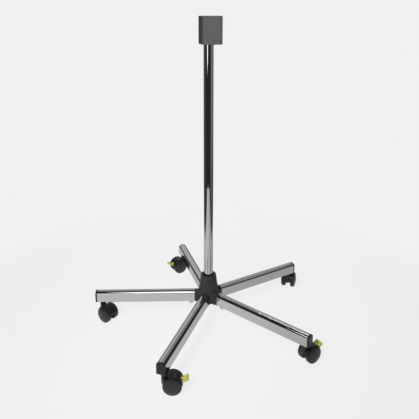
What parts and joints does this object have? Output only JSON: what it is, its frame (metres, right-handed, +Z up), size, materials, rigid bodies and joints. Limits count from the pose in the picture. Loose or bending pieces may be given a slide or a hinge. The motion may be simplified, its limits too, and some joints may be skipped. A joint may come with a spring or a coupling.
{
  "type": "roller stand",
  "caption": "Mobile floor stand with an upright tube, a star of sloping legs on swivel casters with foot brakes, and a socket block on top for a lamp arm.",
  "frame": {"origin": "on the floor, under the upright's axis", "axes": "+Z up along the upright, -X along the left leg, +X and -Y halves hold the right and front legs"},
  "size_m": [0.6829, 0.685, 0.937],
  "materials": {
    "chrome": "polished",
    "hub_plastic": "satin, fine grain",
    "block_plastic": "satin",
    "caster_plastic": "satin",
    "wheel_plastic": "satin",
    "pedal_plastic": "satin",
    "bush_plastic": "satin",
    "steel": "turned",
    "cast_metal": "as cast"
  },
  "bodies": {
    "frame": {"pole": "chrome", "pole_plug": "steel", "pole_washer": "steel", "pole_bolt": "steel", "hub_core": "cast_metal", "hub_cover": "hub_plastic", "leg_studs": "steel", "leg_washers": "steel", "leg_nuts": "chrome", "stem_sleeves": "bush_plastic", "top_block": "block_plastic", "block_grub_screws": "steel", "lamp_socket_bush": "bush_plastic", "leg_left": "chrome", "leg_cap_left": "hub_plastic", "leg_rear_left": "chrome", "leg_cap_rear_left": "hub_plastic", "leg_rear_right": "chrome", "leg_cap_rear_right": "hub_plastic", "leg_front_right": "chrome", "leg_cap_front_right": "hub_plastic", "leg_front": "chrome", "leg_cap_front": "hub_plastic"},
    "caster_left_body": {"caster_left_stem": "steel", "caster_left_housing": "caster_plastic", "caster_left_axle": "steel"},
    "caster_left_wheel_a": {"caster_left_wheel_a": "wheel_plastic"},
    "caster_left_wheel_b": {"caster_left_wheel_b": "wheel_plastic"},
    "caster_rear_left_body": {"caster_rear_left_stem": "steel", "caster_rear_left_housing": "caster_plastic", "caster_rear_left_axle": "steel", "caster_rear_left_pedal_pin": "steel"},
    "caster_rear_left_wheel_a": {"caster_rear_left_wheel_a": "wheel_plastic"},
    "caster_rear_left_wheel_b": {"caster_rear_left_wheel_b": "wheel_plastic"},
    "caster_rear_left_brake_pedal": {"caster_rear_left_brake_pedal": "pedal_plastic"},
    "caster_rear_right_body": {"caster_rear_right_stem": "steel", "caster_rear_right_housing": "caster_plastic", "caster_rear_right_axle": "steel"},
    "caster_rear_right_wheel_a": {"caster_rear_right_wheel_a": "wheel_plastic"},
    "caster_rear_right_wheel_b": {"caster_rear_right_wheel_b": "wheel_plastic"},
    "caster_front_right_body": {"caster_front_right_stem": "steel", "caster_front_right_housing": "caster_plastic", "caster_front_right_axle": "steel", "caster_front_right_pedal_pin": "steel"},
    "caster_front_right_wheel_a": {"caster_front_right_wheel_a": "wheel_plastic"},
    "caster_front_right_wheel_b": {"caster_front_right_wheel_b": "wheel_plastic"},
    "caster_front_right_brake_pedal": {"caster_front_right_brake_pedal": "pedal_plastic"},
    "caster_front_body": {"caster_front_stem": "steel", "caster_front_housing": "caster_plastic", "caster_front_axle": "steel", "caster_front_pedal_pin": "steel"},
    "caster_front_wheel_a": {"caster_front_wheel_a": "wheel_plastic"},
    "caster_front_wheel_b": {"caster_front_wheel_b": "wheel_plastic"},
    "caster_front_brake_pedal": {"caster_front_brake_pedal": "pedal_plastic"}
  },
  "joints": [
    {"name": "caster_left_swivel", "type": "hinge", "parent": "frame", "child": "caster_left_body", "pos_m": [-0.335, 0, 0.07], "axis": [0, 0, 1], "continuous": true},
    {"name": "caster_left_wheel_a_spin", "type": "hinge", "parent": "caster_left_body", "child": "caster_left_wheel_a", "pos_m": [-0.31635, -0.01258, 0.025], "axis": [0.5592, 0.829, 0], "continuous": true},
    {"name": "caster_left_wheel_b_spin", "type": "hinge", "parent": "caster_left_body", "child": "caster_left_wheel_b", "pos_m": [-0.31635, -0.01258, 0.025], "axis": [0.5592, 0.829, 0], "continuous": true},
    {"name": "caster_rear_left_swivel", "type": "hinge", "parent": "frame", "child": "caster_rear_left_body", "pos_m": [-0.10352, 0.3186, 0.07], "axis": [0, 0, 1], "continuous": true},
    {"name": "caster_rear_left_wheel_a_spin", "type": "hinge", "parent": "caster_rear_left_body", "child": "caster_rear_left_wheel_a", "pos_m": [-0.12217, 0.30602, 0.025], "axis": [0.5592, -0.829, 0], "continuous": true},
    {"name": "caster_rear_left_wheel_b_spin", "type": "hinge", "parent": "caster_rear_left_body", "child": "caster_rear_left_wheel_b", "pos_m": [-0.12217, 0.30602, 0.025], "axis": [0.5592, -0.829, 0], "continuous": true},
    {"name": "caster_rear_left_brake", "type": "hinge", "parent": "caster_rear_left_body", "child": "caster_rear_left_brake_pedal", "pos_m": [-0.13171, 0.29959, 0.037], "axis": [0.5592, -0.829, 0], "range_deg": [0, 12]},
    {"name": "caster_rear_right_swivel", "type": "hinge", "parent": "frame", "child": "caster_rear_right_body", "pos_m": [0.27102, 0.19691, 0.07], "axis": [0, 0, 1], "continuous": true},
    {"name": "caster_rear_right_wheel_a_spin", "type": "hinge", "parent": "caster_rear_right_body", "child": "caster_rear_right_wheel_a", "pos_m": [0.27722, 0.21854, 0.025], "axis": [-0.9613, 0.2756, 0], "continuous": true},
    {"name": "caster_rear_right_wheel_b_spin", "type": "hinge", "parent": "caster_rear_right_body", "child": "caster_rear_right_wheel_b", "pos_m": [0.27722, 0.21854, 0.025], "axis": [-0.9613, 0.2756, 0], "continuous": true},
    {"name": "caster_front_right_swivel", "type": "hinge", "parent": "frame", "child": "caster_front_right_body", "pos_m": [0.27102, -0.19691, 0.07], "axis": [0, 0, 1], "continuous": true},
    {"name": "caster_front_right_wheel_a_spin", "type": "hinge", "parent": "caster_front_right_body", "child": "caster_front_right_wheel_a", "pos_m": [0.28899, -0.18337, 0.025], "axis": [-0.6018, 0.7986, 0], "continuous": true},
    {"name": "caster_front_right_wheel_b_spin", "type": "hinge", "parent": "caster_front_right_body", "child": "caster_front_right_wheel_b", "pos_m": [0.28899, -0.18337, 0.025], "axis": [-0.6018, 0.7986, 0], "continuous": true},
    {"name": "caster_front_right_brake", "type": "hinge", "parent": "caster_front_right_body", "child": "caster_front_right_brake_pedal", "pos_m": [0.29817, -0.17645, 0.037], "axis": [-0.6018, 0.7986, 0], "range_deg": [0, 12]},
    {"name": "caster_front_swivel", "type": "hinge", "parent": "frame", "child": "caster_front_body", "pos_m": [-0.10352, -0.3186, 0.07], "axis": [0, 0, 1], "continuous": true},
    {"name": "caster_front_wheel_a_spin", "type": "hinge", "parent": "caster_front_body", "child": "caster_front_wheel_a", "pos_m": [-0.08102, -0.3186, 0.025], "axis": [0, 1, 0], "continuous": true},
    {"name": "caster_front_wheel_b_spin", "type": "hinge", "parent": "caster_front_body", "child": "caster_front_wheel_b", "pos_m": [-0.08102, -0.3186, 0.025], "axis": [0, 1, 0], "continuous": true},
    {"name": "caster_front_brake", "type": "hinge", "parent": "caster_front_body", "child": "caster_front_brake_pedal", "pos_m": [-0.06952, -0.3186, 0.037], "axis": [0, 1, 0], "range_deg": [0, 12]}
  ]
}
